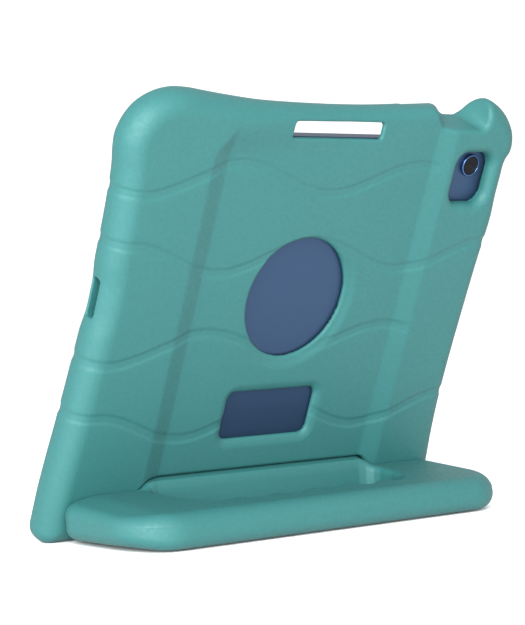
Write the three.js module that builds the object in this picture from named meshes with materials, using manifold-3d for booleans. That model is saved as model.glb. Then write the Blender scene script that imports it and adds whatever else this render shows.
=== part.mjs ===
import * as THREE from 'three';
import { mergeVertices } from 'three/addons/utils/BufferGeometryUtils.js';
import Module from 'manifold-3d';

const wasm = await Module();
wasm.setup();

// ---------------------------------------------------------------- dimensions
// The case is drawn in its own frame, in millimetres: u to the right as seen
// from behind, v up the back panel, w out of the back. w = 0 is the back
// surface of the tablet, and u = v = 0 is the middle of the tablet.

const TABLET_W = 248.6;
const TABLET_H = 179.5;
const TABLET_T = 7.0;
const TABLET_CORNER = 12;
const FIT = 0.3;

const LEAN_DEG = 21.64;       // how far the case leans back from upright
const AXIS_V = -122.7;        // hinge axis in the case frame
const AXIS_W = -3.2;
const HINGE_R = 11.0;         // half thickness of the cheeks about the axis

const BACK_W = AXIS_W + HINGE_R;    // raised side panels of the back, 7.8
const FRONT_W = AXIS_W - HINGE_R;   // front rim, -14.2
const PANEL_W = 4.65;         // recessed middle panel of the back
const RECESS_IN = 72.5;       // half width of the recessed panel
const RECESS_OUT = 82.5;      // half width where its bevels end
const EDGE_R_BACK = 11;
const EDGE_R_FRONT = 9.5;

const SCREEN_W = 234;         // opening in the front rim
const SCREEN_H = 164;

const WINDOW_R = 34.6;        // round window in the back
const WINDOW_FLARE = 3.0;
const LOWER_WINDOW = { u0: -32, u1: 31, v0: -82, v1: -53, r: 5 };
const CAMERA_WINDOW = { u0: 91.0, u1: 116.8, v0: 55.5, v1: 84.5, r: 7 };
const CAMERA_UV = [108.3, 75.4];
const SLOT = { u0: -31, u1: 33, v0: 90.2, v1: 99.6, r: 3.2 };
const HOLE_REAR = 11.9;       // middle of the finger waves
const PORT = { v0: -9, v1: 12, w0: -7.2, w1: 0.8 };

const NOTCH_TOP = -99.6;      // upper edge of the gap between the cheeks
const NOTCH_HALF = 77.5;      // half width of that edge
const CHEEK_IN = 86.8;        // inner faces of the cheeks
const GAP = 0.6;

const GROOVE_HALF = 2.6;
const GROOVE_DEEP = 0.6;
// [middle height, amplitude, period, u of the crest or trough, sign there, right end]
const WAVES = [
  [67.7, 8.2, 127.1, 5.2, -1, 86],
  [24.3, 8.5, 125.0, 3.9, 1, 146],
  [-24.7, 7.2, 127.0, 4.3, -1, 90],
  [-69.0, 8.6, 123.4, 2.3, 1, 146],
];

const STAND_HALF = 131.6;      // half length of the stand
const STAND_REAR = 36.8;      // rear wall, behind the middle of the tablet
const STAND_FRONT = -31.5;
const STAND_TOP_FRONT = -99.2; // top surface of the stand beside the case
const STAND_TOP_REAR = -104.9; // and at its rear wall
const STAND_CORNER_REAR = 30;
const STAND_CORNER_FRONT = 14;
const CREASE_Z = -94.9;       // top of the root beam
const ROOT_REAR = -28.6;      // rear face of the root beam

const PIN_R = 3.0;
const PIN_BORE = 3.3;
const PIN_IN = 64;
const PIN_OUT = 110;

// ---------------------------------------------------------------- frames
const LEAN = THREE.MathUtils.degToRad(LEAN_DEG);
const S = Math.sin(LEAN), C = Math.cos(LEAN);
// From the case frame to the frame of the part: screen towards -Y, +Z up.
const caseToPart = (u, v, w) => [-u, v * S + w * C, v * C - w * S];
const [, AXIS_Y, AXIS_Z] = caseToPart(0, AXIS_V, AXIS_W);
const GROUND = AXIS_Z - HINGE_R;
const place = (p) => [p[0], p[1], p[2] - GROUND];

// ---------------------------------------------------------------- solids
function solidFrom(geometry) {
  const g = geometry.index ? geometry : geometry.clone();
  g.deleteAttribute('normal');
  g.deleteAttribute('uv');
  const m = mergeVertices(g, 1e-4);
  return new wasm.Manifold(new wasm.Mesh({
    numProp: 3,
    vertProperties: new Float32Array(m.attributes.position.array),
    triVerts: new Uint32Array(m.index.array),
  }));
}

// Triangles of a simple polygon that runs anticlockwise. Points in the middle
// of a straight edge stay corners of a triangle.
function earClip(pts) {
  const cross = (a, b, c) => (b[0] - a[0]) * (c[1] - a[1]) - (b[1] - a[1]) * (c[0] - a[0]);
  const left = pts.map((_, i) => i);
  const out = [];
  while (left.length > 3) {
    const n = left.length;
    let best = -1, score = -Infinity;
    for (let i = 0; i < n; i++) {
      const ia = left[(i + n - 1) % n], ib = left[i], ic = left[(i + 1) % n];
      const a = pts[ia], b = pts[ib], c = pts[ic];
      const area = cross(a, b, c);
      if (area <= 1e-9) continue;
      const longest = Math.max(Math.hypot(b[0] - a[0], b[1] - a[1]), Math.hypot(c[0] - b[0], c[1] - b[1]), Math.hypot(a[0] - c[0], a[1] - c[1]));
      const q = area / (longest * longest);
      if (q <= score) continue;
      const clear = left.every((k) => {
        if (k === ia || k === ib || k === ic) return true;
        const p = pts[k];
        return cross(a, b, p) < -1e-9 || cross(b, c, p) < -1e-9 || cross(c, a, p) < -1e-9;
      });
      if (clear) { best = i; score = q; }
    }
    if (best < 0) best = 0;
    out.push([left[(best + n - 1) % n], left[best], left[(best + 1) % n]]);
    left.splice(best, 1);
  }
  out.push(left);
  return out;
}

// Closed body through rings of the same number of points, with flat ends.
function loft(rings, flat = (p) => [p[0], p[1]]) {
  const n = rings[0].length;
  const pos = [];
  const idx = [];
  rings.forEach((ring) => ring.forEach((p) => pos.push(...p)));
  for (let k = 0; k + 1 < rings.length; k++) {
    for (let i = 0; i < n; i++) {
      const a = k * n + i, b = k * n + (i + 1) % n;
      idx.push(a, b, b + n, a, b + n, a + n);
    }
  }
  const cap = (ring, base, first) => {
    const pts = ring.map((p) => flat(p));
    const turned = THREE.ShapeUtils.area(pts.map((p) => new THREE.Vector2(...p))) < 0;
    for (const [a, b, c] of earClip(turned ? pts.slice().reverse() : pts)) {
      const t = turned ? [n - 1 - a, n - 1 - b, n - 1 - c] : [a, b, c];
      const f = turned !== first;
      idx.push(base + t[0], base + t[f ? 2 : 1], base + t[f ? 1 : 2]);
    }
  };
  cap(rings[0], 0, true);
  cap(rings[rings.length - 1], (rings.length - 1) * n, false);
  // Outward faces: the signed volume says which way round they are.
  let vol = 0;
  const at = (i) => new THREE.Vector3(pos[3 * i], pos[3 * i + 1], pos[3 * i + 2]);
  for (let i = 0; i < idx.length; i += 3) {
    vol += at(idx[i]).dot(at(idx[i + 1]).cross(at(idx[i + 2])));
  }
  if (vol < 0) {
    for (let i = 0; i < idx.length; i += 3) [idx[i + 1], idx[i + 2]] = [idx[i + 2], idx[i + 1]];
  }
  const g = new THREE.BufferGeometry();
  g.setAttribute('position', new THREE.Float32BufferAttribute(pos, 3));
  g.setIndex(idx);
  return solidFrom(g);
}

const prismW = (poly, w0, w1) => loft([poly.map(([u, v]) => [u, v, w0]), poly.map(([u, v]) => [u, v, w1])]);
function roundedRect(u0, v0, u1, v1, r, steps = 6) {
  const pts = [];
  for (const [cu, cv, a0] of [[u1 - r, v1 - r, 0], [u0 + r, v1 - r, 90], [u0 + r, v0 + r, 180], [u1 - r, v0 + r, 270]]) {
    for (let k = 0; k <= steps; k++) {
      const a = THREE.MathUtils.degToRad(a0 + 90 * k / steps);
      pts.push([cu + r * Math.cos(a), cv + r * Math.sin(a)]);
    }
  }
  return pts;
}
const rectAt = (d, grow, steps) => roundedRect(d.u0 - grow, d.v0 - grow, d.u1 + grow, d.v1 + grow, d.r + grow, steps);

// Polygon moved inwards by d along its corner bisectors.
function inset(poly, d) {
  const n = poly.length;
  const sign = THREE.ShapeUtils.area(poly.map((p) => new THREE.Vector2(...p))) > 0 ? 1 : -1;
  return poly.map((p, i) => {
    const a = poly[(i + n - 1) % n], b = poly[(i + 1) % n];
    const e1 = new THREE.Vector2(p[0] - a[0], p[1] - a[1]).normalize();
    const e2 = new THREE.Vector2(b[0] - p[0], b[1] - p[1]).normalize();
    const n1 = new THREE.Vector2(-e1.y, e1.x).multiplyScalar(sign);
    const n2 = new THREE.Vector2(-e2.y, e2.x).multiplyScalar(sign);
    const m = n1.clone().add(n2);
    m.multiplyScalar(2 / Math.max(m.lengthSq(), 1.2));
    return [p[0] + m.x * d, p[1] + m.y * d];
  });
}

// ---------------------------------------------------------------- case shell
// Both sides of the outline, from the middle of the top down past the foot.
const sideCurve = (pts) => new THREE.CatmullRomCurve3(pts.map(([u, v]) => new THREE.Vector3(u, v, 0)), false, 'centripetal');
const RIGHT_SIDE = sideCurve([
  [0, 106.0], [25, 106.3], [50, 107.2], [68, 108.7], [85, 111.8], [97, 113.6], [106.5, 113.9], [116.5, 111.8],
  [126.5, 106], [134.4, 97], [137, 88.5], [136.3, 83], [134.3, 78.5], [134.0, 70], [134.0, 60], [134.9, 46], [134.2, 33], [133.2, 20], [132.0, -10],
  [131.2, -45], [131.6, -70], [133.0, -90], [134.8, -107], [135.6, -120], [136, -150],
]);
const LEFT_SIDE = sideCurve([
  [0, 106.0], [25, 106.3], [50, 107.2], [68, 108.8], [85, 110.7], [97, 112.1], [107, 112.0], [116.8, 109.2],
  [125.4, 103.6], [131.0, 95.8], [133.8, 87], [133.4, 79], [131.8, 70], [130.6, 50], [130.2, 20], [130.4, -10],
  [132.0, -40], [134.0, -70], [135.6, -90], [136.6, -107], [136.8, -120], [137, -150],
]);

function caseOutline() {
  const steps = 56;
  const half = (curve, sign) => {
    const pts = [];
    for (let i = 0; i <= steps; i++) {
      const p = curve.getPointAt(i / steps);
      pts.push([sign * p.x, p.y]);
    }
    return pts;
  };
  return half(RIGHT_SIDE, 1).concat(half(LEFT_SIDE, -1).slice(1).reverse());
}

function shellBody(d) {
  const outline = caseOutline();
  const rings = [];
  const ring = (i, w) => inset(outline, i + d).map(([u, v]) => [u, v, w]);
  for (let k = 0; k <= 4; k++) {
    const a = Math.PI / 2 * k / 4;
    rings.push(ring(EDGE_R_BACK * (1 - Math.sin(a)), BACK_W - d - EDGE_R_BACK * (1 - Math.cos(a))));
  }
  for (let k = 0; k <= 3; k++) {
    const a = Math.PI / 2 * k / 3;
    rings.push(ring(EDGE_R_FRONT * (1 - Math.cos(a)), FRONT_W + d + EDGE_R_FRONT * (1 - Math.sin(a))));
  }
  let body = loft(rings);
  // Foot: the lower end is round about the hinge axis.
  const foot = [[150, FRONT_W - 5], [150, BACK_W + 5], [AXIS_V, BACK_W + 5]];
  const heel = (sign) => prismW([[sign * 130, -160], [sign * 130, AXIS_V - HINGE_R + d], [sign * (134.4 - d), AXIS_V - HINGE_R + 1.8], [sign * (137 - d), AXIS_V - HINGE_R + 6], [sign * 150, AXIS_V - HINGE_R + 6], [sign * 150, -160]], -40, 40);
  const r = HINGE_R - d;
  for (let k = 0; k <= 12; k++) {
    const a = Math.PI * k / 12;
    foot.push([AXIS_V - r * Math.sin(a), AXIS_W + r * Math.cos(a)]);
  }
  foot.push([AXIS_V, FRONT_W - 5]);
  body = body.intersect(loft([foot.map(([v, w]) => [-160, v, w]), foot.map(([v, w]) => [160, v, w])], (p) => [p[1], p[2]]));
  body = body.subtract(heel(1)).subtract(heel(-1));
  // Recessed middle panel with sloping sides, fading out at the upper left.
  const slope = (RECESS_OUT - RECESS_IN) / (BACK_W - PANEL_W);
  const section = (v, wl, wr) => {
    const top = BACK_W + 4;
    return [
      [-RECESS_IN, v, wl - d], [RECESS_IN, v, wr - d],
      [RECESS_IN + slope * (top - wr), v, top], [-RECESS_IN - slope * (top - wl), v, top],
    ];
  };
  body = body.subtract(loft([
    section(-140, PANEL_W, PANEL_W), section(80, PANEL_W, PANEL_W),
    section(95, BACK_W - 0.3, PANEL_W), section(130, BACK_W - 0.3, PANEL_W),
  ], (p) => [p[0], p[2]]));
  return body;
}

function waveBand([mid, amp, period, u0, sign, end]) {
  const up = [], down = [];
  const n = 44;
  for (let i = 0; i <= n; i++) {
    const u = -146 + (end + 146) * i / n;
    const ph = 2 * Math.PI * (u - u0) / period;
    const v = mid + sign * amp * Math.cos(ph);
    const t = -sign * amp * 2 * Math.PI / period * Math.sin(ph);
    const h = GROOVE_HALF * Math.hypot(1, t) * Math.min(1, (end < 146 ? 0.1 : 1) + (end - u) / 10);
    up.push([u, v + h]);
    down.push([u, v - h]);
  }
  return prismW(down.concat(up.reverse()), -8.5, 20);
}

function caseShell() {
  let body = shellBody(0);
  const inner = shellBody(GROOVE_DEEP);
  for (const wave of WAVES) body = body.subtract(waveBand(wave).subtract(inner));

  // Space for the tablet, and the opening over the screen.
  body = body.subtract(prismW(
    roundedRect(-TABLET_W / 2 - FIT, -TABLET_H / 2 - FIT, TABLET_W / 2 + FIT, TABLET_H / 2 + FIT, TABLET_CORNER + FIT, 6),
    -TABLET_T - FIT, FIT));
  const screen = (g, w) => roundedRect(-SCREEN_W / 2 - g, -SCREEN_H / 2 - g, SCREEN_W / 2 + g, SCREEN_H / 2 + g, 9 + g, 5).map(([u, v]) => [u, v, w]);
  body = body.subtract(loft([screen(0, -5), screen(0, -8.6), screen(0.8, -10.2), screen(3.4, FRONT_W), screen(7.4, FRONT_W - 4)]));

  // Round window.
  const rim = (r, w) => {
    const pts = [];
    for (let i = 0; i < 64; i++) {
      const a = 2 * Math.PI * i / 64;
      pts.push([r * Math.cos(a), r * Math.sin(a), w]);
    }
    return pts;
  };
  body = body.subtract(loft([
    rim(WINDOW_R, -2), rim(WINDOW_R, 1.4), rim(WINDOW_R + 0.5, 2.9), rim(WINDOW_R + 1.5, 4.0),
    rim(WINDOW_R + WINDOW_FLARE, PANEL_W), rim(WINDOW_R + WINDOW_FLARE + 14, PANEL_W + 3),
  ]));

  // Lower window and camera window.
  for (const [d, top] of [[LOWER_WINDOW, PANEL_W], [CAMERA_WINDOW, BACK_W]]) {
    const ring = (g, w) => rectAt(d, g, 5).map(([u, v]) => [u, v, w]);
    body = body.subtract(loft([ring(0, -2), ring(0, top - 2.9), ring(0.45, top - 1.5), ring(1.3, top - 0.5), ring(2.6, top), ring(9, top + 1.6)]));
  }

  // Slot above the tablet, right through the top wall.
  const slot = (g, w) => rectAt(SLOT, g, 5).map(([u, v]) => [u, v, w]);
  body = body.subtract(loft([slot(0, -1), slot(0, PANEL_W - 1.6), slot(0.5, PANEL_W - 0.5), slot(1.5, PANEL_W), slot(9, PANEL_W + 3)]));
  body = body.subtract(prismW(roundedRect(-52, 89.2, 52, 100.2, 3.2, 5), -7.2, 1.6));
  body = body.subtract(prismW(roundedRect(-52, 86.2, 52, 100.2, 3.2, 5), FRONT_W - 2, -7.1));

  // Notch over the buttons in the top wall: the front rim stays, and the corner
  // beyond it slopes away to the right and to the back.
  const well = (v, shift, right) => [[64 - shift, v, -8.2], [right, v, -8.2], [right + 16, v, 8], [right + 28, v, 20], [64 - shift, v, 20]];
  body = body.subtract(loft([well(97.4, -9, 97), well(108.5, -2, 97), well(125, 3, 97)], (p) => [p[0], p[2]]));
  const rimCut = (du, dv, w) => [[66, 125], [70, 103.0 + dv], [96 + du, 102.4 + dv], [99 + du, 104.2 + dv], [102 + du, 107.2 + dv], [106 + du, 110.3 + dv], [111 + du, 112.6 + dv], [116 + du, 125]].map(([u, v]) => [u, v, w]);
  body = body.subtract(loft([rimCut(7, -2.4, -16), rimCut(4.5, -1.8, -8), rimCut(0, 0, 1)]));
  // Opening for the plug in the left wall.
  const port = (g, u) => roundedRect(PORT.v0 - g, PORT.w0 - g, PORT.v1 + g, PORT.w1 + g, 2.6 + g, 4).map(([v, w]) => [u, v, w]);
  body = body.subtract(loft([port(0, -122), port(0, -129.6), port(1.2, -131.6), port(4, -137)], (p) => [p[1], p[2]]));

  // Gap between the cheeks, where the root of the stand turns.
  body = body.subtract(prismW([
    [-NOTCH_HALF, NOTCH_TOP], [NOTCH_HALF, NOTCH_TOP], [CHEEK_IN, NOTCH_TOP - 9.3], [CHEEK_IN, -150], [-CHEEK_IN, -150], [-CHEEK_IN, NOTCH_TOP - 9.3],
  ], -40, 40));

  // Bores for the pins.
  for (const side of [-1, 1]) {
    body = body.subtract(pinSolid(side, PIN_BORE, CHEEK_IN - 1, PIN_OUT + 0.4));
  }
  return body;
}

function pinSolid(side, r, a, b) {
  const g = new THREE.CylinderGeometry(r, r, b - a, 24);
  g.rotateZ(Math.PI / 2);
  g.translate(side * (a + b) / 2, AXIS_V, AXIS_W);
  return solidFrom(g);
}

// ---------------------------------------------------------------- stand
// Drawn as it stands: u as before, y backwards and z up from the middle of the tablet.
const standTop = (y) => STAND_TOP_FRONT + (STAND_TOP_REAR - STAND_TOP_FRONT) * (y - STAND_FRONT) / (STAND_REAR - STAND_FRONT);

function standOutline() {
  const pts = [];
  const f = -39.5;
  const arc = (cu, cy, r, a0, a1, n) => {
    for (let k = 0; k <= n; k++) {
      const a = THREE.MathUtils.degToRad(a0 + (a1 - a0) * k / n);
      pts.push([cu + r * Math.cos(a), cy + r * Math.sin(a)]);
    }
  };
  arc(STAND_HALF - STAND_CORNER_FRONT, f + STAND_CORNER_FRONT, STAND_CORNER_FRONT, -90, 0, 6);
  arc(STAND_HALF - STAND_CORNER_REAR, STAND_REAR - STAND_CORNER_REAR, STAND_CORNER_REAR, 0, 90, 11);
  arc(-STAND_HALF + STAND_CORNER_REAR, STAND_REAR - STAND_CORNER_REAR, STAND_CORNER_REAR, 90, 180, 11);
  arc(-STAND_HALF + STAND_CORNER_FRONT, f + STAND_CORNER_FRONT, STAND_CORNER_FRONT, 180, 270, 6);
  return pts;
}

// Outline of the hand hole, with finger waves on its rear side.
function handHole() {
  const pts = [];
  const front = ROOT_REAR, half = 80;
  pts.push([-half + 8, front], [half - 8, front], [half - 3.5, front + 1.4], [half - 0.8, front + 5], [half, front + 9]);
  pts.push([half - 1.5, front + 20], [half - 5, front + 30], [half - 10, front + 37]);
  const n = 34;
  for (let i = 0; i <= n; i++) {
    const u = 64 - 128 * i / n;
    const fade = Math.min(1, (66 - Math.abs(u)) / 14);
    pts.push([u, HOLE_REAR - 2.0 * Math.cos(2 * Math.PI * u / 26) * fade]);
  }
  pts.push([-half + 10, front + 37], [-half + 5, front + 30], [-half + 1.5, front + 20]);
  pts.push([-half, front + 9], [-half + 0.8, front + 5], [-half + 3.5, front + 1.4]);
  return pts;
}

function standBody() {
  const outline = standOutline();
  // The slab: rings from the underside to the sloping top.
  const z0 = AXIS_Z - HINGE_R;
  const rb = 5.5, rt = 9;
  const rings = [];
  const ring = (i, f) => inset(outline, i).map(([u, y]) => {
    const top = standTop(y);
    return [u, y, f(top)];
  });
  for (let k = 0; k <= 3; k++) {
    const a = Math.PI / 2 * k / 3;
    rings.push(ring(rb * (1 - Math.sin(a)), () => z0 + rb * (1 - Math.cos(a))));
  }
  for (let k = 0; k <= 4; k++) {
    const a = Math.PI / 2 * k / 4;
    rings.push(ring(rt * (1 - Math.cos(a)), (top) => top - rt * (1 - Math.sin(a))));
  }
  let body = loft(rings);

  // Clear of the backs of the cheeks.
  const q = (v, w) => caseToPart(0, v, w).slice(1);
  const cut = [q(60, BACK_W + GAP), q(-150, BACK_W + GAP), q(-150, -120), q(60, -120)];
  body = body.subtract(loft([cut.map(([y, z]) => [-170, y, z]), cut.map(([y, z]) => [170, y, z])], (p) => [p[1], p[2]]));

  // Root beam between the cheeks: round about the axis where it turns under the case.
  const R = NOTCH_TOP - AXIS_V - 0.5;
  const sec = [];
  const rel = (v, w) => sec.push(q(AXIS_V + v, AXIS_W + w));
  for (let k = 0; k <= 6; k++) {
    const w = -HINGE_R + HINGE_R * k / 6;
    rel(Math.sqrt(R * R - w * w), w);
  }
  rel(R, HINGE_R - 1.4);
  sec.push([ROOT_REAR - 2.0, CREASE_Z], [ROOT_REAR - 0.7, CREASE_Z - 0.7], [ROOT_REAR, CREASE_Z - 2.4], [ROOT_REAR, z0 + 3], [ROOT_REAR - 3, z0]);
  for (let k = 0; k <= 8; k++) {
    const a = Math.PI / 2 * k / 8 * (90 + LEAN_DEG) / 90;
    sec.push([AXIS_Y - HINGE_R * Math.sin(a), AXIS_Z - HINGE_R * Math.cos(a)]);
  }
  const full = CHEEK_IN - GAP;
  let root = loft([sec.map(([y, z]) => [-full, y, z]), sec.map(([y, z]) => [full, y, z])], (p) => [p[1], p[2]]);
  // Its upper corners follow the chamfers of the gap.
  const prof = [
    [-full, -160], [full, -160], [full, NOTCH_TOP - 9.9], [NOTCH_HALF - 0.3, NOTCH_TOP - 0.5], [NOTCH_HALF - 0.9, -60], [-NOTCH_HALF + 0.9, -60],
    [-NOTCH_HALF + 0.3, NOTCH_TOP - 0.5], [-full, NOTCH_TOP - 9.9],
  ];
  const allow = loft([prof.map(([u, v]) => [u, ...q(v, -60)]), prof.map(([u, v]) => [u, ...q(v, 60)])], (p) => [p[0], p[2]]);
  root = root.intersect(allow);
  // In front of the axis they are cones about it, so they clear the chamfers at every angle.
  const coneEnd = R - 13.8;
  const cone = new THREE.LatheGeometry([[0, -full], [13.8 - GAP, -full], [R + 0.2, -full + coneEnd + GAP + 0.2], [R + 0.2, full - coneEnd - GAP - 0.2], [13.8 - GAP, full], [0, full]]
    .map(([x, y]) => new THREE.Vector2(x, y)), 96);
  cone.rotateZ(Math.PI / 2);
  cone.translate(0, AXIS_Y, AXIS_Z);
  const ahead = [q(60, AXIS_W), q(-200, AXIS_W), q(-200, -120), q(60, -120)];
  root = root.subtract(loft([ahead.map(([y, z]) => [-170, y, z]), ahead.map(([y, z]) => [170, y, z])], (p) => [p[1], p[2]]).subtract(solidFrom(cone)));

  // Hand hole with soft edges.
  const hole = handHole();
  const hring = (g, z) => inset(hole, -g).map(([u, y]) => [u, y, z]);
  const top = STAND_TOP_REAR;
  const holes = loft([hring(5, z0 - 2), hring(3.4, z0), hring(1.0, z0 + 1.4), hring(0, z0 + 4), hring(0, top - 4), hring(0.6, top - 1.8), hring(2, top - 0.4), hring(3.6, top + 0.4), hring(4.4, top + 6)]);
  body = body.subtract(holes);
  // The beam stays whole in front of the hole.
  body = body.add(root);
  for (const side of [-1, 1]) {
    const g = new THREE.CylinderGeometry(PIN_BORE, PIN_BORE, full + 1 - (PIN_IN - 0.4), 24);
    g.rotateZ(Math.PI / 2);
    g.translate(side * (full + 1 + PIN_IN - 0.4) / 2, AXIS_Y, AXIS_Z);
    body = body.subtract(solidFrom(g));
  }
  return body;
}

// ---------------------------------------------------------------- tablet
function tabletHousing() {
  const ring = (g, w) => roundedRect(-TABLET_W / 2 + g, -TABLET_H / 2 + g, TABLET_W / 2 - g, TABLET_H / 2 - g, TABLET_CORNER - g, 7).map(([u, v]) => [u, v, w]);
  let body = loft([ring(0.5, 0), ring(0.12, -0.2), ring(0, -0.6), ring(0, -6.5), ring(0.4, -6.95), ring(0.6, -7.0)]);
  body = body.subtract(prismW(roundedRect(-TABLET_W / 2 + 1.6, -TABLET_H / 2 + 1.6, TABLET_W / 2 - 1.6, TABLET_H / 2 - 1.6, TABLET_CORNER - 1.6, 7), -9, -5.9));
  return body;
}
function tabletGlass() {
  const ring = (g, w) => roundedRect(-TABLET_W / 2 + g, -TABLET_H / 2 + g, TABLET_W / 2 - g, TABLET_H / 2 - g, TABLET_CORNER - g, 7).map(([u, v]) => [u, v, w]);
  return loft([ring(1.8, -6.0), ring(1.8, -6.9), ring(1.95, -7.05)]);
}
function disc(r0, r1, w0, w1, bore = 0) {
  const pts = bore
    ? [[bore, w0], [r0, w0], [r1, w1 - 0.3], [r1 - 0.3, w1], [bore, w1], [bore, w0]]
    : [[0, w0], [r0, w0], [r1, w1 - 0.2], [r1 - 0.2, w1], [0, w1]];
  const g = new THREE.LatheGeometry(pts.map(([x, y]) => new THREE.Vector2(x, y)), 40);
  g.rotateX(Math.PI / 2);
  g.translate(CAMERA_UV[0], CAMERA_UV[1], 0);
  return solidFrom(g);
}

// ---------------------------------------------------------------- meshes
const group = new THREE.Group();
group.name = 'kids_tablet_case';

const foam = () => new THREE.MeshStandardMaterial({ color: 0x4e9b98, roughness: 0.78, metalness: 0 });
const blue = () => new THREE.MeshStandardMaterial({ color: 0x2f4a72, roughness: 0.42, metalness: 0.55 });
const glass = () => new THREE.MeshStandardMaterial({ color: 0x0b0c0f, roughness: 0.12, metalness: 0 });
const steel = () => new THREE.MeshStandardMaterial({ color: 0x9a9da1, roughness: 0.35, metalness: 0.9 });

function addMesh(name, solid, material, fromCase) {
  let s = solid;
  if (s.volume() < 0) throw new Error(name + ' is inside out');
  const m = s.getMesh();
  const n = m.numProp;
  const pos = new Float32Array(m.triVerts.length * 3);
  m.triVerts.forEach((vi, i) => {
    const a = m.vertProperties[vi * n], b = m.vertProperties[vi * n + 1], c = m.vertProperties[vi * n + 2];
    const p = place(fromCase ? caseToPart(a, b, c) : [-a, b, c]);
    pos.set(p, i * 3);
  });
  if (!fromCase) {
    // Mirrored in u, so the faces are turned round.
    for (let i = 0; i < pos.length; i += 9) {
      for (let k = 0; k < 3; k++) {
        const t = pos[i + 3 + k];
        pos[i + 3 + k] = pos[i + 6 + k];
        pos[i + 6 + k] = t;
      }
    }
  }
  const g = new THREE.BufferGeometry();
  g.setAttribute('position', new THREE.BufferAttribute(pos, 3));
  g.computeVertexNormals();
  const mesh = new THREE.Mesh(g, material);
  mesh.name = name;
  group.add(mesh);
}

addMesh('case_shell', caseShell(), foam(), true);
addMesh('stand_handle', standBody(), foam(), false);
for (const [side, name] of [[-1, 'left'], [1, 'right']]) {
  addMesh('hinge_pin_' + name, pinSolid(side, PIN_R, PIN_IN, PIN_OUT), steel(), true);
}
addMesh('tablet_housing', tabletHousing(), blue(), true);
addMesh('tablet_glass', tabletGlass(), glass(), true);
addMesh('tablet_camera_ring', disc(6.3, 6.3, 0.02, 1.5, 4.7), blue(), true);
addMesh('tablet_camera_lens', disc(4.4, 4.4, 0.02, 1.2), glass(), true);

// The origin is the middle of the base.
const bounds = new THREE.Box3().setFromObject(group);
group.position.set(-(bounds.min.x + bounds.max.x) / 2, -(bounds.min.y + bounds.max.y) / 2, 0);

export default group;
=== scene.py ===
import bmesh
import bpy
import math
import numpy as np
from mathutils import Matrix, Vector


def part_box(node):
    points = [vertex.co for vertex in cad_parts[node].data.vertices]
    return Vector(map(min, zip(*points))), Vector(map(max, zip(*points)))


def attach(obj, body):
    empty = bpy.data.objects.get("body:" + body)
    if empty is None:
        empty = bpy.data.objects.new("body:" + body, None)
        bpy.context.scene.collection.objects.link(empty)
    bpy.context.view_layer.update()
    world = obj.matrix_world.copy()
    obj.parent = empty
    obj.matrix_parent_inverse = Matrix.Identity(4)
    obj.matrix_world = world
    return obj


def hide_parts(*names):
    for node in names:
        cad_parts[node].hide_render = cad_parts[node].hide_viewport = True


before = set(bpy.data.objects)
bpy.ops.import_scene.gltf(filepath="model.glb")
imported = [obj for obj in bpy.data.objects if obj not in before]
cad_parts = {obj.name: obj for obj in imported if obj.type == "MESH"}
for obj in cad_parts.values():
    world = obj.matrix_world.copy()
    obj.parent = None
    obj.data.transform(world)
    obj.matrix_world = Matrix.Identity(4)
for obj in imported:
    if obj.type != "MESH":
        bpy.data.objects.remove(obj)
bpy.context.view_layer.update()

# ------------------------------------------------------------------ frames
# Lengths below are in millimetres. The case has its own frame: u to the right
# as seen from behind, v up the back, w out of the back, from the middle of the
# back of the tablet. The stand is drawn in u, y backwards and z up.
LEAN = math.radians(21.64)
S, C = math.sin(LEAN), math.cos(LEAN)
AXIS_V, AXIS_W, HINGE_R = -122.7, -3.2, 11.0
AXIS_Y = AXIS_V * S + AXIS_W * C
AXIS_Z = AXIS_V * C - AXIS_W * S
GROUND = AXIS_Z - HINGE_R

pin_lo, pin_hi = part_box("hinge_pin_left")
tab_lo, tab_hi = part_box("tablet_housing")
SHIFT_X = 500 * (tab_lo.x + tab_hi.x)
SHIFT_Y = 500 * (pin_lo.y + pin_hi.y) - AXIS_Y
TURN = np.array([[-1.0, 0.0, 0.0], [0.0, S, C], [0.0, C, -S]])
SHIFT = np.array([SHIFT_X, SHIFT_Y, -GROUND])


def case_to_row(p):
    return (p @ TURN.T + SHIFT) / 1000.0


def stand_to_row(p):
    return np.stack([-p[:, 0] + SHIFT_X, p[:, 1] + SHIFT_Y, p[:, 2]], 1) / 1000.0


# ------------------------------------------------------------------ camera
def rotation_from_vector(r):
    a = math.sqrt(sum(x * x for x in r))
    k = np.array(r) / a
    K = np.array([[0, -k[2], k[1]], [k[2], 0, -k[0]], [-k[1], k[0], 0]])
    return np.eye(3) + math.sin(a) * K + (1 - math.cos(a)) * K @ K


R = rotation_from_vector((0.38195, 0.69765, -0.10086))
T = np.array([16.10, 8.91, -1149.44])
place = TURN @ (-R.T @ T) + SHIFT
turn = TURN @ R.T
m = np.eye(4)
m[:3, :3] = turn
m[:3, 3] = place / 1000.0
cam_data = bpy.data.cameras.new("camera")
cam_data.sensor_width = 36.0
cam_data.sensor_fit = "AUTO"
cam_data.lens = 2140.0 * 36.0 / 625.0
cam_data.clip_start, cam_data.clip_end = 0.05, 60.0
cam_data.dof.use_dof = False
cam = bpy.data.objects.new("camera", cam_data)
bpy.context.scene.collection.objects.link(cam)
cam.matrix_world = Matrix(m.tolist())
bpy.context.scene.camera = cam


# ------------------------------------------------------------------ distance helpers
def smooth(x):
    x = np.clip(x, 0.0, 1.0)
    return x * x * (3 - 2 * x)


def both(a, b, r):
    """Inside a and b, with the edge between them rounded to radius r."""
    return np.minimum(-r, np.maximum(a, b)) + np.hypot(np.maximum(a + r, 0), np.maximum(b + r, 0))


def either(a, b, r):
    """Inside a or b, with a fillet of radius r between them."""
    return np.maximum(r, np.minimum(a, b)) - np.hypot(np.maximum(r - a, 0), np.maximum(r - b, 0))


def soft_plus(x, k):
    return 0.5 * (x + np.sqrt(x * x + k * k))


def soft_min(a, b, k):
    return 0.5 * (a + b - np.sqrt((a - b) ** 2 + k * k))


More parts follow.
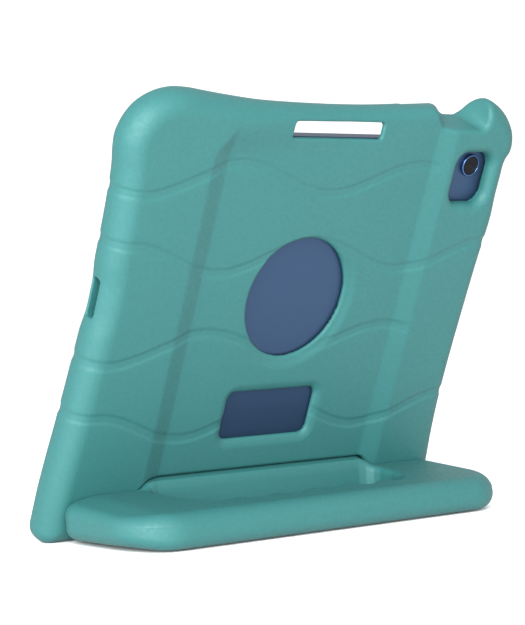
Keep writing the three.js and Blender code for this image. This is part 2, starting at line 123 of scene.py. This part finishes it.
def round_rect(x, y, hx, hy, r):
    qx, qy = np.abs(x) - (hx - r), np.abs(y) - (hy - r)
    return np.hypot(np.maximum(qx, 0), np.maximum(qy, 0)) + np.minimum(np.maximum(qx, qy), 0) - r


def spline(points, steps):
    """Centripetal Catmull-Rom curve through the points."""
    p = np.array(points, float)
    p = np.vstack([2 * p[0] - p[1], p, 2 * p[-1] - p[-2]])
    out = []
    for i in range(1, len(p) - 2):
        p0, p1, p2, p3 = p[i - 1:i + 3]
        t0 = 0.0
        t1 = t0 + math.dist(p0, p1) ** 0.5
        t2 = t1 + math.dist(p1, p2) ** 0.5
        t3 = t2 + math.dist(p2, p3) ** 0.5
        for k in range(steps):
            t = t1 + (t2 - t1) * k / steps
            a1 = (t1 - t) / (t1 - t0) * p0 + (t - t0) / (t1 - t0) * p1
            a2 = (t2 - t) / (t2 - t1) * p1 + (t - t1) / (t2 - t1) * p2
            a3 = (t3 - t) / (t3 - t2) * p2 + (t - t2) / (t3 - t2) * p3
            b1 = (t2 - t) / (t2 - t0) * a1 + (t - t0) / (t2 - t0) * a2
            b2 = (t3 - t) / (t3 - t1) * a2 + (t - t1) / (t3 - t1) * a3
            out.append((t2 - t) / (t2 - t1) * b1 + (t - t1) / (t2 - t1) * b2)
    out.append(p[-2])
    return np.array(out)


class Field:
    """Signed distance to a closed outline, kept on a grid and read back smoothly."""

    def __init__(self, outline, step, margin):
        a = np.array(outline, float)
        b = np.roll(a, -1, axis=0)
        self.step = step
        self.lo = a.min(0) - margin
        n = np.ceil((a.max(0) + margin - self.lo) / step).astype(int) + 1
        x = self.lo[0] + step * np.arange(n[0])
        y = self.lo[1] + step * np.arange(n[1])
        px, py = [g.ravel() for g in np.meshgrid(x, y, indexing="ij")]
        best = np.full(px.shape, 1e18)
        inside = np.zeros(px.shape, bool)
        for (ax, ay), (bx, by) in zip(a, b):
            ex, ey = bx - ax, by - ay
            ll = ex * ex + ey * ey
            if ll < 1e-12:
                continue
            t = np.clip(((px - ax) * ex + (py - ay) * ey) / ll, 0, 1)
            d = (px - ax - t * ex) ** 2 + (py - ay - t * ey) ** 2
            np.minimum(best, d, out=best)
            if ay != by:
                hit = ((ay > py) != (by > py)) & (px < (bx - ax) * (py - ay) / (by - ay) + ax)
                inside ^= hit
        d = np.sqrt(best)
        d[inside] *= -1
        self.grid = d.reshape(n[0], n[1])

    def __call__(self, x, y):
        gx = (x - self.lo[0]) / self.step
        gy = (y - self.lo[1]) / self.step
        nx, ny = self.grid.shape
        gx = np.clip(gx, 1.0, nx - 2.001)
        gy = np.clip(gy, 1.0, ny - 2.001)
        ix, iy = np.floor(gx).astype(np.int32), np.floor(gy).astype(np.int32)
        fx, fy = gx - ix, gy - iy

        def weights(f):
            return ((1 - f) ** 3 / 6, (3 * f ** 3 - 6 * f ** 2 + 4) / 6,
                    (-3 * f ** 3 + 3 * f ** 2 + 3 * f + 1) / 6, f ** 3 / 6)

        wx, wy = weights(fx), weights(fy)
        out = 0.0
        for i in range(4):
            row = 0.0
            for j in range(4):
                row = row + wy[j] * self.grid[np.minimum(ix + i - 1, nx - 1), np.minimum(iy + j - 1, ny - 1)]
            out = out + wx[i] * row
        return out


# ------------------------------------------------------------------ closed surface from a distance
def net(f, lo, hi, step):
    """Vertices and quads of the surface f = 0."""
    axes = [np.arange(lo[k], hi[k] + step, step) for k in range(3)]
    g = f(axes[0][:, None, None], axes[1][None, :, None], axes[2][None, None, :])
    g = np.ascontiguousarray(np.broadcast_to(g, tuple(len(a) for a in axes)), np.float32)
    neg = g < 0
    nx, ny, nz = g.shape
    total = np.zeros((nx - 1, ny - 1, nz - 1, 3), np.float32)
    count = np.zeros((nx - 1, ny - 1, nz - 1), np.int16)
    crossings = []
    for k in range(3):
        a = [slice(None)] * 3
        b = [slice(None)] * 3
        a[k], b[k] = slice(0, -1), slice(1, None)
        ga, gb = g[tuple(a)], g[tuple(b)]
        cut = neg[tuple(a)] != neg[tuple(b)]
        idx = np.argwhere(cut)
        va, vb = ga[cut], gb[cut]
        t = va / (va - vb)
        pos = idx.astype(np.float32)
        pos[:, k] += t
        crossings.append((idx, va < 0))
        o1, o2 = [x for x in range(3) if x != k]
        for s1 in (0, -1):
            for s2 in (0, -1):
                c = idx.copy()
                c[:, o1] += s1
                c[:, o2] += s2
                ok = (c >= 0).all(1) & (c[:, 0] < nx - 1) & (c[:, 1] < ny - 1) & (c[:, 2] < nz - 1)
                cc = c[ok]
                np.add.at(total, (cc[:, 0], cc[:, 1], cc[:, 2]), pos[ok])
                np.add.at(count, (cc[:, 0], cc[:, 1], cc[:, 2]), 1)
    active = count > 0
    number = np.full(active.shape, -1, np.int64)
    number[active] = np.arange(active.sum())
    verts = total[active] / count[active][:, None]
    verts = verts.astype(float) * step + np.array([a[0] for a in axes])
    quads = []
    for k, (idx, first_in) in enumerate(crossings):
        o1, o2 = (k + 1) % 3, (k + 2) % 3
        ring = []
        for s1, s2 in ((0, 0), (-1, 0), (-1, -1), (0, -1)):
            c = idx.copy()
            c[:, o1] += s1
            c[:, o2] += s2
            ring.append(number[c[:, 0], c[:, 1], c[:, 2]])
        q = np.stack(ring, 1)
        q[~first_in] = q[~first_in][:, ::-1]
        quads.append(q)
    return verts, np.vstack(quads)


def gradient(f, p, h):
    k = ((1, -1, -1), (-1, -1, 1), (-1, 1, -1), (1, 1, 1))
    g = np.zeros_like(p)
    for a, b, c in k:
        v = f(p[:, 0] + a * h, p[:, 1] + b * h, p[:, 2] + c * h)
        g += v[:, None] * np.array([a, b, c], float)
    return g / (4 * h)


def settle(f, p, rounds, limit, h=0.12):
    start = p.copy()
    for _ in range(rounds):
        g = gradient(f, p, h)
        n2 = (g * g).sum(1)
        step = f(p[:, 0], p[:, 1], p[:, 2]) / np.maximum(n2, 0.25)
        step = np.clip(step, -limit / 2, limit / 2)
        p = p - step[:, None] * g
        off = p - start
        far = np.linalg.norm(off, axis=1)
        scale = np.minimum(1.0, limit / np.maximum(far, 1e-9))
        p = start + off * scale[:, None]
    return p


def tidy(mesh):
    """Merge points that fell together, and drop pairs of faces left back to back on the same three points."""
    bm = bmesh.new()
    bm.from_mesh(mesh)
    bmesh.ops.remove_doubles(bm, verts=bm.verts, dist=1e-5)
    bm.verts.index_update()
    for _ in range(3):
        first, both_of = {}, set()
        for face in bm.faces:
            key = tuple(sorted(v.index for v in face.verts))
            if key in first:
                both_of.update((face, first[key]))
            else:
                first[key] = face
        if not both_of:
            break
        bmesh.ops.delete(bm, geom=list(both_of), context="FACES")
        bm.verts.index_update()
    loose = [v for v in bm.verts if not v.link_faces]
    bmesh.ops.delete(bm, geom=loose, context="VERTS")
    bm.to_mesh(mesh)
    bm.free()


def finished_mesh(name, f, lo, hi, step, budget, to_row):
    """The surface of f as a Blender object, thinned to a number of triangles,
    with its vertices moved onto the surface."""
    verts, quads = net(f, lo, hi, step)
    verts = settle(f, verts, 3, 0.6 * step)
    mesh = bpy.data.meshes.new(name)
    mesh.from_pydata(to_row(verts).tolist(), [], quads.tolist())
    mesh.validate()
    ob = bpy.data.objects.new(name, mesh)
    bpy.context.scene.collection.objects.link(ob)
    tris = 2 * len(quads)
    if tris > budget:
        mod = ob.modifiers.new("thin", "DECIMATE")
        mod.decimate_type = "COLLAPSE"
        mod.ratio = budget / tris
        dg = bpy.context.evaluated_depsgraph_get()
        thin = bpy.data.meshes.new_from_object(ob.evaluated_get(dg))
        ob.modifiers.clear()
        ob.data = thin
        bpy.data.meshes.remove(mesh)
        thin.name = name
    return ob


def shade(ob, f, from_row, to_row_dir, settle_rounds=2, limit=0.35, h=0.2):
    me = ob.data
    n = len(me.vertices)
    co = np.zeros(n * 3)
    me.vertices.foreach_get("co", co)
    p = from_row(co.reshape(-1, 3))
    p = settle(f, p, settle_rounds, limit)
    g = gradient(f, p, h)
    g /= np.maximum(np.linalg.norm(g, axis=1), 1e-9)[:, None]
    return p, to_row_dir(g)


def write_back(ob, co, normals):
    me = ob.data
    me.vertices.foreach_set("co", co.astype(np.float32).ravel())
    me.update()
    me.polygons.foreach_set("use_smooth", np.ones(len(me.polygons), bool))
    me.normals_split_custom_set_from_vertices(normals.tolist())
    me.update()


# ------------------------------------------------------------------ case shell
BACK_W = AXIS_W + HINGE_R
FRONT_W = AXIS_W - HINGE_R
PANEL_W = 4.15
NOTCH_TOP, NOTCH_HALF, CHEEK_IN, GAP = -99.6, 77.5, 86.8, 0.6

RIGHT_SIDE = [
    (0, 106.0), (25, 106.35), (50, 107.6), (68, 109.4), (85, 112.3), (97, 114.1), (106.5, 114.2), (116.5, 111.8),
    (126.5, 106), (134.4, 97), (137, 88.5), (136.4, 83), (134.1, 78.5), (134.0, 70), (134.0, 60), (134.9, 46), (134.2, 33),
    (133.2, 20), (132.0, -10),
    (131.2, -45), (131.6, -70), (133.0, -90), (134.8, -107), (135.6, -120), (136, -150)]
LEFT_SIDE = [
    (0, 106.0), (25, 106.3), (50, 107.2), (68, 108.8), (85, 110.7), (97, 112.1), (107, 112.0), (116.8, 109.2),
    (125.4, 103.6), (131.0, 95.8), (133.8, 87), (133.4, 79), (131.8, 70), (130.6, 50), (130.2, 20), (130.4, -10),
    (132.0, -40), (134.0, -70), (135.6, -90), (136.6, -107), (136.8, -120), (137, -150)]
right = spline(RIGHT_SIDE, 10)
left = spline(LEFT_SIDE, 10) * (-1, 1)
case_outline = Field(np.vstack([right, left[::-1][:-1]]), 1.0, 8.0)

# Middle height, amplitude, period, u of the crest or trough, sign there, right end.
WAVES = [
    (67.7, 8.2, 127.1, 5.2, -1, 84),
    (24.3, 8.5, 125.0, 3.9, 1, 300),
    (-24.7, 7.2, 127.0, 4.3, -1, 90),
    (-69.0, 8.6, 123.4, 2.3, 1, 300)]


def grooves(u, v):
    # Shallow channels with a nearly flat floor. On the side walls they run level.
    depth = 0.0
    level = np.clip(u, -116.0, 120.0)
    for mid, amp, period, u0, sign, end in WAVES:
        ph = 2 * np.pi * (level - u0) / period
        t = -sign * amp * 2 * np.pi / period * np.sin(ph)
        g = (v - mid - sign * amp * np.cos(ph)) / np.sqrt(1 + t * t)
        wall = smooth((3.5 - np.abs(g)) / 2.1)
        depth = depth + 0.5 * wall * smooth((end - u) / 9.0)
    return depth


def back_height(u, v):
    rise = smooth((v - 79) / 19) * np.clip((10 - u) / 76, 0, 1)
    floor = PANEL_W + (BACK_W - 0.2 - PANEL_W) * rise
    ramp = 0.315 * (soft_plus(u - 75.0, 0.9) + soft_plus(-u - 68.9, 0.9))
    return soft_min(BACK_W, floor + ramp, 0.35)


def gap_between_cheeks(u, v, grow):
    a = np.abs(u)
    return both(both(v - NOTCH_TOP - grow, a - CHEEK_IN - grow, 1.0),
                (a + v - (NOTCH_HALF + NOTCH_TOP) - 1.41 * grow) * 0.7071, 1.0)


def case_sdf(u, v, w):
    d2 = both(case_outline(u, v), (AXIS_V - HINGE_R) - v, 8.0)
    h = back_height(u, v)
    rb = h - AXIS_W
    a, b = d2 + rb, w - h + rb
    back = np.hypot(np.maximum(a, 0), np.maximum(b, 0)) + np.minimum(np.maximum(a, b), 0) - rb
    rf = 9.5
    a, b = d2 + rf, FRONT_W - w + rf
    front = np.hypot(np.maximum(a, 0), np.maximum(b, 0)) + np.minimum(np.maximum(a, b), 0) - rf
    body = np.where(w > -4.0, back, front)
    body = body + grooves(u, v) * smooth((w + 13.6) / 3.0)
    body = body + 1.15 * smooth((21.0 - np.abs(v - 1.5)) / 15.0) * smooth((-u - 118.0) / 9.0)
    body = np.maximum(body, np.hypot(np.minimum(v - AXIS_V, 0), w - AXIS_W) - HINGE_R)

    # Windows and the slot, with soft upper edges.
    deep = -3.0 - w
    circle, low = np.hypot(u, v) - 34.1, round_rect(u + 0.3, v + 67.8, 31.0, 14.0, 5.0)
    side = smooth((u - v + 12.0) / 40.0)
    sunk = (1.6 * side * smooth((7.5 - circle) / 7.0) + 1.1 * smooth((5.0 - low) / 4.8)) * smooth((w - 1.0) / 2.0)
    body = body + sunk
    body = both(body, -np.maximum(circle, deep), 2.0)
    body = both(body, -np.maximum(low, deep), 2.2)
    body = both(body, -np.maximum(round_rect(u - 106.3, v - 69.1, 13.4, 14.8, 8.0), deep), 5.2)
    body = both(body, -np.maximum(round_rect(u - 1.5, v - 94.7, 31.7, 4.55, 1.8), deep), 1.5)

    # Notch over the buttons: a scoop that runs from the back to the front rim
    # and drifts to the right on its way.
    s = np.clip((BACK_W - w) / 19.8, -0.3, 1.15)
    qx, qy = u - 59.3 - 16.2 * s, v - 95.5 + 2.0 * s
    end = np.hypot(np.maximum(qx, 0), np.maximum(qy, 0)) + np.minimum(np.maximum(qx, qy), 0) - 14.0
    slope = (u - 108.5 - s * (0.86 * soft_plus(v - 100.9, 1.5) - 5.6)) * 0.83
    well = both(both(-end, 97.3 + 3.4 * s - v, 3.0), slope, 4.5)
    well = np.maximum(well, 52.0 - u)
    body = both(body, -well, 2.6)

    # Plug opening in the side wall, with a dished surround.
    port = np.maximum(round_rect(v - 1.5, w + 4.9, 10.5, 3.0, 1.6), u + 122.0)
    body = both(body, -port, 1.2)

    # Gap for the stand's root.
    body = both(body, -gap_between_cheeks(u, v, 0.0), 1.6)

    # Tablet space, screen opening, and the hollow behind the slot.
    body = np.maximum(body, -np.maximum(round_rect(u, v, 124.6, 90.05, 12.3), np.abs(w + 3.5) - 3.8))
    flare = 3.4 * np.clip((-8.6 - w) / 5.6, 0, 2) ** 1.4
    body = both(body, -np.maximum(round_rect(u, v, 117.0, 82.0, 9.0) - flare, w + 5.0), 1.0)
    body = np.maximum(body, -np.maximum(round_rect(u, v - 94.7, 52.0, 5.5, 3.2), np.maximum(w - 1.6, -7.2 - w)))
    body = np.maximum(body, -np.maximum(round_rect(u, v - 93.2, 52.0, 7.0, 3.2), w + 7.1))

    # Bores for the pins.
    a = np.abs(u)
    bore = np.maximum(np.hypot(v - AXIS_V, w - AXIS_W) - 3.3, np.maximum(CHEEK_IN - 1 - a, a - 110.4))
    return np.maximum(body, -bore)


# ------------------------------------------------------------------ stand
HALF, REAR, FRONT = 131.6, 36.8, -39.5
TOP_FRONT, TOP_REAR = -99.2 - GROUND, -104.9 - GROUND


def stand_top(y):
    return TOP_FRONT + (TOP_REAR - TOP_FRONT) * (y + 31.5) / 68.3


def hand_hole():
    front, half = -28.6, 80.0
    pts = [(-half + 8, front), (half - 8, front), (half - 3.5, front + 1.4), (half - 0.8, front + 5), (half, front + 9),
           (half - 1.5, front + 20), (half - 5, front + 30), (half - 10, front + 37)]
    for i in range(97):
        u = 64 - 128 * i / 96
        fade = min(1.0, (66 - abs(u)) / 14)
        pts.append((u, 11.9 - 3.0 * math.cos(2 * math.pi * u / 26) * fade))
    pts += [(-half + 10, front + 37), (-half + 5, front + 30), (-half + 1.5, front + 20),
            (-half, front + 9), (-half + 0.8, front + 5), (-half + 3.5, front + 1.4)]
    return pts


def root_section():
    r = NOTCH_TOP - AXIS_V - 0.5
    out = []

    def rel(v, w):
        v, w = AXIS_V + v, AXIS_W + w
        out.append((v * S + w * C, v * C - w * S - GROUND))

    for k in range(13):
        w = -HINGE_R + HINGE_R * k / 12
        rel(math.sqrt(r * r - w * w), w)
    rel(r, HINGE_R - 1.4)
    crease = -94.9 - GROUND
    out.extend([(-30.6, crease), (-29.3, crease - 0.7), (-28.6, crease - 2.4), (-28.6, 3.0), (-31.6, 0.0)])
    for k in range(25):
        a = math.pi / 2 * k / 24 * (90 + 21.64) / 90
        out.append((AXIS_Y - HINGE_R * math.sin(a), HINGE_R - HINGE_R * math.cos(a)))
    return out


hole_field = Field(hand_hole(), 0.75, 12.0)
root_field = Field(root_section(), 0.6, 12.0)


def stand_sdf(u, y, z):
    zt = z + GROUND
    v, w = y * S + zt * C, y * C - zt * S
    r = np.where(y > -1.35, 30.0, 14.0)
    half = np.where(u < 0, HALF - 0.8, HALF)
    qx, qy = np.abs(u) - (half - r), np.abs(y + 1.35) - (38.15 - r)
    d2 = np.hypot(np.maximum(qx, 0), np.maximum(qy, 0)) + np.minimum(np.maximum(qx, qy), 0) - r
    d2 = d2 + 0.28 * smooth((13.4 - z) / 1.2)
    # The ends taper: the top drops to them, and the underside curls up there and a little along the rear wall.
    end = smooth((np.abs(u) - 100.0) / 28.0)
    ru, rl = np.where(u < 0, 9.0 - 3.2 * end, 9.0 + 1.5 * end), 7.0 - 1.2 * end
    drop = np.where(u < 0, 3.6 * smooth((-u - 107.0) / 25.0) ** 1.3, 0.6 * smooth((u - 119.0) / 13.0))
    lift = 0.9 * smooth((y + 8.0) / 34.0) + 3.8 * smooth((np.abs(u) - 107.0) / 26.0) ** 1.3
    a, b = d2 + ru, (z - stand_top(y) + drop) * 0.9965 + ru
    upper = np.hypot(np.maximum(a, 0), np.maximum(b, 0)) + np.minimum(np.maximum(a, b), 0) - ru
    a, b = d2 + rl, -z + lift + rl
    lower = np.hypot(np.maximum(a, 0), np.maximum(b, 0)) + np.minimum(np.maximum(a, b), 0) - rl
    slab = np.maximum(upper, lower)
    # The root's upper corners slope down to the slab.
    shoulder = (np.abs(u) + v - (NOTCH_HALF + NOTCH_TOP) + 1.41 * GAP) * 0.7071
    root = both(root_field(y, z), shoulder, 3.0)
    root = np.maximum(root, np.abs(u) - 95.0)
    body = either(slab, root, 5.0)
    body = both(body, -hole_field(u, y), 3.4)
    # In front of the axis the root's ends are cones about it, so they clear the case at every angle.
    turned_v = np.where(w < AXIS_W, np.maximum(v, AXIS_V + np.hypot(v - AXIS_V, w - AXIS_W) - 0.05), v)
    keep = np.minimum(back_height(u, v) + GAP - w, gap_between_cheeks(u, turned_v, -GAP))
    body = both(body, keep, 0.8)
    ab = np.abs(u)
    bore = np.maximum(np.hypot(y - AXIS_Y, z - HINGE_R) - 3.3, np.maximum(63.6 - ab, ab - 87.0))
    return np.maximum(np.maximum(body, -bore), -z)


# ------------------------------------------------------------------ build the foam
def build(name, f, lo, hi, step, budget, kind):
    if kind == "case":
        to_row = case_to_row
        from_row = lambda p: (p * 1000.0 - SHIFT) @ TURN
        turn_dir = lambda g: g @ TURN.T
    else:
        to_row = stand_to_row
        from_row = lambda p: np.stack([SHIFT_X - p[:, 0] * 1000, p[:, 1] * 1000 - SHIFT_Y, p[:, 2] * 1000], 1)
        turn_dir = lambda g: g * (-1, 1, 1)
    ob = finished_mesh(name, f, lo, hi, step, budget, to_row)
    p, normals = shade(ob, f, from_row, turn_dir)
    ob.data.vertices.foreach_set("co", to_row(p).astype(np.float32).ravel())
    tidy(ob.data)
    p, normals = shade(ob, f, from_row, turn_dir, 0)
    write_back(ob, to_row(p), normals)
    if kind == "stand":
        ob.data.flip_normals()
        ob.data.normals_split_custom_set_from_vertices(normals.tolist())
    return ob


case_step, stand_step = ((1.15, 1.0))
case_foam = build("case_foam", case_sdf, (-139.3, -136.1, -16.3), (139.3, 116.2, 10.2), case_step, 190000, "case")
stand_foam = build("stand_foam", stand_sdf, (-133.7, -62.1, -1.4), (133.7, 39.1, 35.0), stand_step, 150000, "stand")
for ob, node, body in ((case_foam, "case_shell", "case"), (stand_foam, "stand_handle", "stand")):
    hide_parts(node)
    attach(ob, body)


# ------------------------------------------------------------------ tablet's camera
def turned(name, profile, middle, node, n=96):
    """Body of revolution about w through (u, v); the profile is (radius, w) from axis to axis."""
    pts, faces, rings = [], [], []
    for r, w in profile:
        if r < 1e-6:
            rings.append([len(pts)])
            pts.append((middle[0], middle[1], w))
        else:
            rings.append(list(range(len(pts), len(pts) + n)))
            for k in range(n):
                a = 2 * math.pi * k / n
                pts.append((middle[0] + r * math.cos(a), middle[1] + r * math.sin(a), w))
    closed = len(rings[0]) > 1
    pairs = list(zip(rings, rings[1:])) + ([(rings[-1], rings[0])] if closed else [])
    for a, b in pairs:
        for k in range(n):
            j = (k + 1) % n
            if len(a) == 1:
                faces.append((a[0], b[j], b[k]))
            elif len(b) == 1:
                faces.append((a[k], a[j], b[0]))
            else:
                faces.append((a[k], a[j], b[j], b[k]))
    mesh = bpy.data.meshes.new(name)
    mesh.from_pydata(case_to_row(np.array(pts)).tolist(), [], faces)
    bm = bmesh.new()
    bm.from_mesh(mesh)
    bmesh.ops.recalc_face_normals(bm, faces=bm.faces)
    bm.to_mesh(mesh)
    bm.free()
    ob = bpy.data.objects.new(name, mesh)
    bpy.context.scene.collection.objects.link(ob)
    mesh.polygons.foreach_set("use_smooth", np.ones(len(mesh.polygons), bool))
    mesh.set_sharp_from_angle(angle=math.radians(35))
    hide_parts(node)
    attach(ob, "case")
    return ob


CAMERA = (108.3, 75.4)
collar = [(5.45, 0.03), (6.45, 0.03), (6.38, 1.2), (6.3, 1.6), (6.1, 1.85), (5.8, 1.95), (5.6, 1.9), (5.5, 1.75), (5.45, 1.5)]
camera_ring = turned("camera_ring", collar, CAMERA, "tablet_camera_ring")
lens = [(0, 0.03), (5.4, 0.03), (5.4, 1.45), (5.25, 1.55), (5.1, 1.45), (4.3, 1.38), (4.2, 1.3), (3.5, 1.28), (3.4, 1.2),
        (2.7, 1.18), (2.6, 1.1), (1.9, 1.1), (1.75, 1.22), (1.3, 1.42), (0.7, 1.54), (0, 1.58)]
camera_lens = turned("camera_lens", lens, CAMERA, "tablet_camera_lens")

# ------------------------------------------------------------------ materials
def srgb(r, g, b):
    def lin(c):
        c /= 255.0
        return c / 12.92 if c <= 0.04045 else ((c + 0.055) / 1.055) ** 2.4
    return (lin(r), lin(g), lin(b), 1.0)


def material(name):
    mat = bpy.data.materials.new(name)
    mat.use_nodes = True
    nt = mat.node_tree
    nt.nodes.clear()
    out = nt.nodes.new("ShaderNodeOutputMaterial")
    bsdf = nt.nodes.new("ShaderNodeBsdfPrincipled")
    nt.links.new(bsdf.outputs["BSDF"], out.inputs["Surface"])
    return mat, nt, bsdf


def noise(nt, coords, scale, detail=2.0, rough=0.5):
    n = nt.nodes.new("ShaderNodeTexNoise")
    n.inputs["Scale"].default_value = scale
    n.inputs["Detail"].default_value = detail
    n.inputs["Roughness"].default_value = rough
    nt.links.new(coords, n.inputs["Vector"])
    return n


def ramp(nt, fac, lo, hi, a, b):
    r = nt.nodes.new("ShaderNodeMapRange")
    r.inputs["From Min"].default_value = lo
    r.inputs["From Max"].default_value = hi
    r.inputs["To Min"].default_value = a
    r.inputs["To Max"].default_value = b
    nt.links.new(fac, r.inputs["Value"])
    return r.outputs["Result"]


def foam_material():
    mat, nt, bsdf = material("eva_foam")
    tc = nt.nodes.new("ShaderNodeTexCoord").outputs["Object"]
    broad = noise(nt, tc, 14.0, 3.0)
    fine = noise(nt, tc, 520.0, 2.0, 0.6)
    mix = nt.nodes.new("ShaderNodeMix")
    mix.data_type = "RGBA"
    mix.inputs["A"].default_value = (0.0112, 0.0820, 0.0815, 1)
    mix.inputs["B"].default_value = (0.0128, 0.0890, 0.0880, 1)
    nt.links.new(broad.outputs["Fac"], mix.inputs["Factor"])
    speck = nt.nodes.new("ShaderNodeMix")
    speck.data_type = "RGBA"
    speck.blend_type = "MULTIPLY"
    speck.inputs["B"].default_value = (0.86, 0.90, 0.90, 1)
    nt.links.new(ramp(nt, fine.outputs["Fac"], 0.35, 0.7, 0.0, 0.5), speck.inputs["Factor"])
    nt.links.new(mix.outputs["Result"], speck.inputs["A"])
    nt.links.new(speck.outputs["Result"], bsdf.inputs["Base Color"])
    nt.links.new(ramp(nt, fine.outputs["Fac"], 0.3, 0.7, 0.58, 0.70), bsdf.inputs["Roughness"])
    bsdf.inputs["Specular IOR Level"].default_value = 0.48
    bsdf.inputs["Specular Tint"].default_value = (0.82, 1.0, 1.0, 1)
    # Fine leather-like grain.
    vor = nt.nodes.new("ShaderNodeTexVoronoi")
    vor.feature = "SMOOTH_F1"
    vor.inputs["Scale"].default_value = 900.0
    vor.inputs["Smoothness"].default_value = 0.6
    nt.links.new(tc, vor.inputs["Vector"])
    add = nt.nodes.new("ShaderNodeMath")
    add.operation = "ADD"
    nt.links.new(vor.outputs["Distance"], add.inputs[0])
    nt.links.new(fine.outputs["Fac"], add.inputs[1])
    bump = nt.nodes.new("ShaderNodeBump")
    bump.inputs["Strength"].default_value = 0.35
    bump.inputs["Distance"].default_value = 0.00016
    nt.links.new(add.outputs["Value"], bump.inputs["Height"])
    nt.links.new(bump.outputs["Normal"], bsdf.inputs["Normal"])
    return mat


def tablet_material():
    mat, nt, bsdf = material("blue_anodised")
    tc = nt.nodes.new("ShaderNodeTexCoord").outputs["Object"]
    grain = noise(nt, tc, 6000.0, 1.0)
    broad = noise(nt, tc, 9.0, 2.0)
    mix = nt.nodes.new("ShaderNodeMix")
    mix.data_type = "RGBA"
    mix.inputs["A"].default_value = (0.021, 0.047, 0.098, 1)
    mix.inputs["B"].default_value = (0.025, 0.052, 0.106, 1)
    nt.links.new(broad.outputs["Fac"], mix.inputs["Factor"])
    nt.links.new(mix.outputs["Result"], bsdf.inputs["Base Color"])
    bsdf.inputs["Metallic"].default_value = 0.75
    nt.links.new(ramp(nt, grain.outputs["Fac"], 0.3, 0.7, 0.38, 0.48), bsdf.inputs["Roughness"])
    return mat


def glass_material():
    mat, nt, bsdf = material("black_glass")
    tc = nt.nodes.new("ShaderNodeTexCoord").outputs["Object"]
    smear = noise(nt, tc, 22.0, 3.0)
    bsdf.inputs["Base Color"].default_value = (0.006, 0.006, 0.008, 1)
    nt.links.new(ramp(nt, smear.outputs["Fac"], 0.3, 0.8, 0.04, 0.14), bsdf.inputs["Roughness"])
    bsdf.inputs["Specular IOR Level"].default_value = 0.35
    bsdf.inputs["Coat Weight"].default_value = 0.2
    return mat


def lens_material():
    mat, nt, bsdf = material("lens_glass")
    tc = nt.nodes.new("ShaderNodeTexCoord").outputs["Object"]
    tint = noise(nt, tc, 300.0, 1.0)
    mix = nt.nodes.new("ShaderNodeMix")
    mix.data_type = "RGBA"
    mix.inputs["A"].default_value = (0.004, 0.004, 0.005, 1)
    mix.inputs["B"].default_value = (0.010, 0.011, 0.013, 1)
    nt.links.new(tint.outputs["Fac"], mix.inputs["Factor"])
    nt.links.new(mix.outputs["Result"], bsdf.inputs["Base Color"])
    bsdf.inputs["Roughness"].default_value = 0.35
    bsdf.inputs["Specular IOR Level"].default_value = 0.04
    return mat


def collar_material():
    mat, nt, bsdf = material("blue_collar")
    tc = nt.nodes.new("ShaderNodeTexCoord").outputs["Object"]
    grain = noise(nt, tc, 5000.0, 1.0)
    bsdf.inputs["Base Color"].default_value = (0.052, 0.110, 0.235, 1)
    bsdf.inputs["Metallic"].default_value = 0.9
    nt.links.new(ramp(nt, grain.outputs["Fac"], 0.3, 0.7, 0.16, 0.26), bsdf.inputs["Roughness"])
    return mat


def steel_material():
    mat, nt, bsdf = material("pin_steel")
    tc = nt.nodes.new("ShaderNodeTexCoord").outputs["Object"]
    streak = noise(nt, tc, 800.0, 2.0)
    bsdf.inputs["Base Color"].default_value = (0.55, 0.56, 0.58, 1)
    bsdf.inputs["Metallic"].default_value = 1.0
    nt.links.new(ramp(nt, streak.outputs["Fac"], 0.3, 0.7, 0.25, 0.4), bsdf.inputs["Roughness"])
    return mat


def put(ob, mat):
    ob.data.materials.clear()
    ob.data.materials.append(mat)


foam_mat = foam_material()
blue_mat = tablet_material()
glass_mat = glass_material()
steel_mat = steel_material()
put(case_foam, foam_mat)
put(stand_foam, foam_mat)
put(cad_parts["tablet_housing"], blue_mat)
put(camera_ring, collar_material())
put(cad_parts["tablet_glass"], glass_mat)
put(camera_lens, lens_material())
put(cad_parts["hinge_pin_left"], steel_mat)
put(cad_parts["hinge_pin_right"], steel_mat)

# ------------------------------------------------------------------ floor and light
floor_mesh = bpy.data.meshes.new("floor")
floor_mesh.from_pydata([(-20, -20, 0), (20, -20, 0), (20, 20, 0), (-20, 20, 0)], [], [(0, 1, 2, 3)])
floor = bpy.data.objects.new("floor", floor_mesh)
bpy.context.scene.collection.objects.link(floor)
mat, nt, bsdf = material("floor_white")
bsdf.inputs["Base Color"].default_value = (0.92, 0.92, 0.92, 1)
bsdf.inputs["Roughness"].default_value = 0.9
put(floor, mat)

world = bpy.data.worlds.new("studio")
bpy.context.scene.world = world
world.use_nodes = True
world.node_tree.nodes["Background"].inputs["Color"].default_value = (1, 1, 1, 1)
world.node_tree.nodes["Background"].inputs["Strength"].default_value = 1.2


def area(name, place, target, size, power):
    d = bpy.data.lights.new(name, "AREA")
    d.shape = "RECTANGLE"
    d.size, d.size_y = size
    d.energy = power
    o = bpy.data.objects.new(name, d)
    bpy.context.scene.collection.objects.link(o)
    o.location = place
    o.rotation_mode = "QUATERNION"
    o.rotation_quaternion = (Vector(target) - Vector(place)).to_track_quat("-Z", "Y")
    return o


area("key", (2.0, 0.6, 0.85), (0, 0, 0.11), (1.4, 1.4), 25.0)
area("broad", (1.75, 1.7, 0.85), (0, 0, 0.1), (1.6, 1.6), 183.0)

bpy.context.scene.view_settings.view_transform = "Standard"
bpy.context.scene.view_settings.look = "None"
